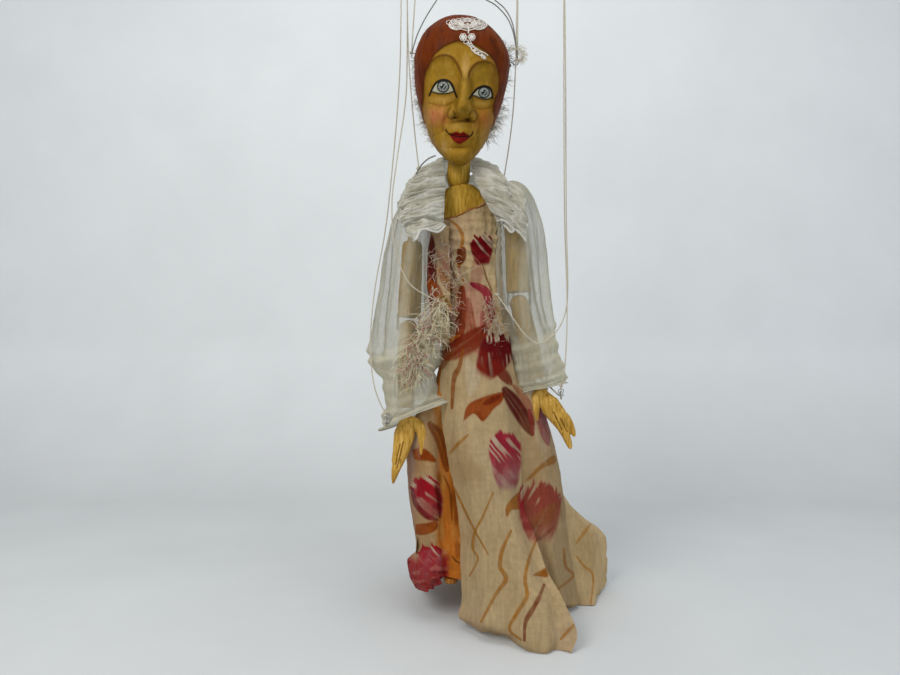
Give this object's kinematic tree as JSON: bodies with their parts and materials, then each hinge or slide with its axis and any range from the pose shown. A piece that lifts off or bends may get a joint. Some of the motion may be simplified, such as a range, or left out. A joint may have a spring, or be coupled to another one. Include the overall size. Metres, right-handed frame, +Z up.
{
  "type": "string marionette puppet",
  "caption": "Carved wooden lady marionette with a jointed body, silk gown and sheer jacket, worked by strings from a crossed wooden control.",
  "frame": {"origin": "on the floor under the middle of the control, centre of the bounding box in x and y, at the soles of the feet", "axes": "+Z up along the strings; the face looks along -Y; +X is the figure's left"},
  "size_m": [0.274, 0.264, 0.8553],
  "materials": {
    "face_wood": "hand painted, matt",
    "ochre_wood": "carved, brushed ochre paint",
    "control_wood": "oiled",
    "steel_wire": "bent wire",
    "organza": "sheer gathered organza",
    "silk": "printed silk",
    "lace": "needle lace",
    "feather": "wispy feathers and frayed thread",
    "cord": "twisted cord",
    "dark_cord": "dark twisted cord",
    "rosette": "rolled cloth"
  },
  "bodies": {
    "torso": {"chest": "ochre_wood", "shoulder_pins": "steel_wire", "waist_staple": "steel_wire", "bodice": "silk", "collar_ruffle": "organza", "jacket_back": "organza", "waist_rosette": "rosette", "body_strings": "cord", "control_cross_bar": "control_wood", "control_main_bar": "control_wood", "shoulder_bar": "control_wood", "control_bolts": "steel_wire", "hanging_ring": "steel_wire", "string_eyes": "steel_wire"},
    "head_bar": {"head_bar": "control_wood", "head_strings": "cord", "slack_strings": "dark_cord", "neck_swivel": "steel_wire"},
    "head": {"head": "face_wood", "neck": "ochre_wood", "ear_eyes": "steel_wire", "lace_headdress": "lace", "feather_tufts": "feather"},
    "pelvis": {"pelvis": "ochre_wood", "hip_axle": "steel_wire", "skirt_train": "silk"},
    "shoulder_link_l": {"shoulder_link_l": "steel_wire"},
    "upper_arm_l": {"upper_arm_l": "ochre_wood", "elbow_staple_l": "steel_wire", "sleeve_upper_l": "organza"},
    "forearm_l": {"forearm_l": "ochre_wood", "wrist_staple_l": "steel_wire", "sleeve_cuff_l": "organza"},
    "hand_l": {"hand_l": "ochre_wood"},
    "wrist_ring_l": {"wrist_ring_l": "steel_wire"},
    "string_link_l": {"string_link_l": "steel_wire"},
    "hand_string_l": {"hand_string_l": "cord"},
    "thigh_l": {"thigh_l": "ochre_wood", "knee_pin_l": "steel_wire", "skirt_panel_l": "silk"},
    "shin_l": {"shin_l": "ochre_wood", "ankle_pin_l": "steel_wire"},
    "foot_l": {"foot_l": "control_wood"},
    "shoulder_link_r": {"shoulder_link_r": "steel_wire"},
    "upper_arm_r": {"upper_arm_r": "ochre_wood", "elbow_staple_r": "steel_wire", "sleeve_upper_r": "organza"},
    "forearm_r": {"forearm_r": "ochre_wood", "wrist_staple_r": "steel_wire", "sleeve_cuff_r": "organza"},
    "hand_r": {"hand_r": "ochre_wood"},
    "wrist_ring_r": {"wrist_ring_r": "steel_wire"},
    "string_link_r": {"string_link_r": "steel_wire"},
    "hand_string_r": {"hand_string_r": "cord"},
    "thigh_r": {"thigh_r": "ochre_wood", "knee_pin_r": "steel_wire", "skirt_panel_r": "silk"},
    "shin_r": {"shin_r": "ochre_wood", "ankle_pin_r": "steel_wire"},
    "foot_r": {"foot_r": "control_wood"}
  },
  "joints": [
    {"name": "head_turn", "type": "hinge", "parent": "torso", "child": "head_bar", "pos_m": [-0.02, 0, 0.463], "axis": [0, 0, 1], "range_deg": [-35, 35]},
    {"name": "head_nod", "type": "hinge", "parent": "head_bar", "child": "head", "pos_m": [-0.02, 0, 0.463], "axis": [1, 0, 0], "range_deg": [-8, 15]},
    {"name": "waist_bend", "type": "hinge", "parent": "torso", "child": "pelvis", "pos_m": [-0.002, 0, 0.322], "axis": [1, 0, 0], "range_deg": [-12, 12]},
    {"name": "shoulder_swing_l", "type": "hinge", "parent": "torso", "child": "shoulder_link_l", "pos_m": [0.04, 0, 0.435], "axis": [-1, 0, 0], "range_deg": [0, 60]},
    {"name": "shoulder_raise_l", "type": "hinge", "parent": "shoulder_link_l", "child": "upper_arm_l", "pos_m": [0.04, 0, 0.422], "axis": [0, -1, 0], "range_deg": [0, 50]},
    {"name": "elbow_l", "type": "hinge", "parent": "upper_arm_l", "child": "forearm_l", "pos_m": [0.045, -0.006, 0.326], "axis": [-1, 0, 0], "range_deg": [0, 75]},
    {"name": "wrist_l", "type": "hinge", "parent": "forearm_l", "child": "hand_l", "pos_m": [0.066, -0.014, 0.236], "axis": [-1, 0, 0], "range_deg": [-35, 35]},
    {"name": "ring_pivot_l", "type": "hinge", "parent": "forearm_l", "child": "wrist_ring_l", "pos_m": [0.085, -0.034, 0.231], "axis": [-1, 0, 0], "range_deg": [-75, 0]},
    {"name": "link_pivot_l", "type": "hinge", "parent": "wrist_ring_l", "child": "string_link_l", "pos_m": [0.085, -0.034, 0.235], "axis": [0, -1, 0], "range_deg": [-50, 0]},
    {"name": "string_pivot_l", "type": "hinge", "parent": "string_link_l", "child": "hand_string_l", "pos_m": [0.085, -0.034, 0.2376], "axis": [-1, 0, 0], "range_deg": [-60, 0]},
    {"name": "hip_l", "type": "hinge", "parent": "pelvis", "child": "thigh_l", "pos_m": [0.014, 0, 0.268], "axis": [-1, 0, 0], "range_deg": [-5, 40]},
    {"name": "knee_l", "type": "hinge", "parent": "thigh_l", "child": "shin_l", "pos_m": [0.014, 0, 0.16], "axis": [1, 0, 0], "range_deg": [0, 35]},
    {"name": "ankle_l", "type": "hinge", "parent": "shin_l", "child": "foot_l", "pos_m": [0.014, 0, 0.066], "axis": [1, 0, 0], "range_deg": [-15, 15]},
    {"name": "shoulder_swing_r", "type": "hinge", "parent": "torso", "child": "shoulder_link_r", "pos_m": [-0.069, 0, 0.414], "axis": [-1, 0, 0], "range_deg": [0, 60]},
    {"name": "shoulder_raise_r", "type": "hinge", "parent": "shoulder_link_r", "child": "upper_arm_r", "pos_m": [-0.069, 0, 0.401], "axis": [0, 1, 0], "range_deg": [0, 50]},
    {"name": "elbow_r", "type": "hinge", "parent": "upper_arm_r", "child": "forearm_r", "pos_m": [-0.073, -0.004, 0.299], "axis": [-1, 0, 0], "range_deg": [0, 75]},
    {"name": "wrist_r", "type": "hinge", "parent": "forearm_r", "child": "hand_r", "pos_m": [-0.075, -0.028, 0.207], "axis": [-1, 0, 0], "range_deg": [-35, 35]},
    {"name": "ring_pivot_r", "type": "hinge", "parent": "forearm_r", "child": "wrist_ring_r", "pos_m": [-0.093, -0.046, 0.205], "axis": [-1, 0, 0], "range_deg": [-75, 0]},
    {"name": "link_pivot_r", "type": "hinge", "parent": "wrist_ring_r", "child": "string_link_r", "pos_m": [-0.093, -0.046, 0.209], "axis": [0, 1, 0], "range_deg": [-50, 0]},
    {"name": "string_pivot_r", "type": "hinge", "parent": "string_link_r", "child": "hand_string_r", "pos_m": [-0.093, -0.046, 0.2116], "axis": [-1, 0, 0], "range_deg": [-60, 0]},
    {"name": "hip_r", "type": "hinge", "parent": "pelvis", "child": "thigh_r", "pos_m": [-0.028, 0, 0.268], "axis": [-1, 0, 0], "range_deg": [-5, 40]},
    {"name": "knee_r", "type": "hinge", "parent": "thigh_r", "child": "shin_r", "pos_m": [-0.028, 0, 0.16], "axis": [1, 0, 0], "range_deg": [0, 35]},
    {"name": "ankle_r", "type": "hinge", "parent": "shin_r", "child": "foot_r", "pos_m": [-0.028, 0, 0.066], "axis": [1, 0, 0], "range_deg": [-15, 15]}
  ],
  "couplings": [
    {"joint": "ring_pivot_l", "follows": "elbow_l", "ratio": -1},
    {"joint": "link_pivot_l", "follows": "shoulder_raise_l", "ratio": -1},
    {"joint": "string_pivot_l", "follows": "shoulder_swing_l", "ratio": -1},
    {"joint": "ring_pivot_r", "follows": "elbow_r", "ratio": -1},
    {"joint": "link_pivot_r", "follows": "shoulder_raise_r", "ratio": -1},
    {"joint": "string_pivot_r", "follows": "shoulder_swing_r", "ratio": -1}
  ]
}
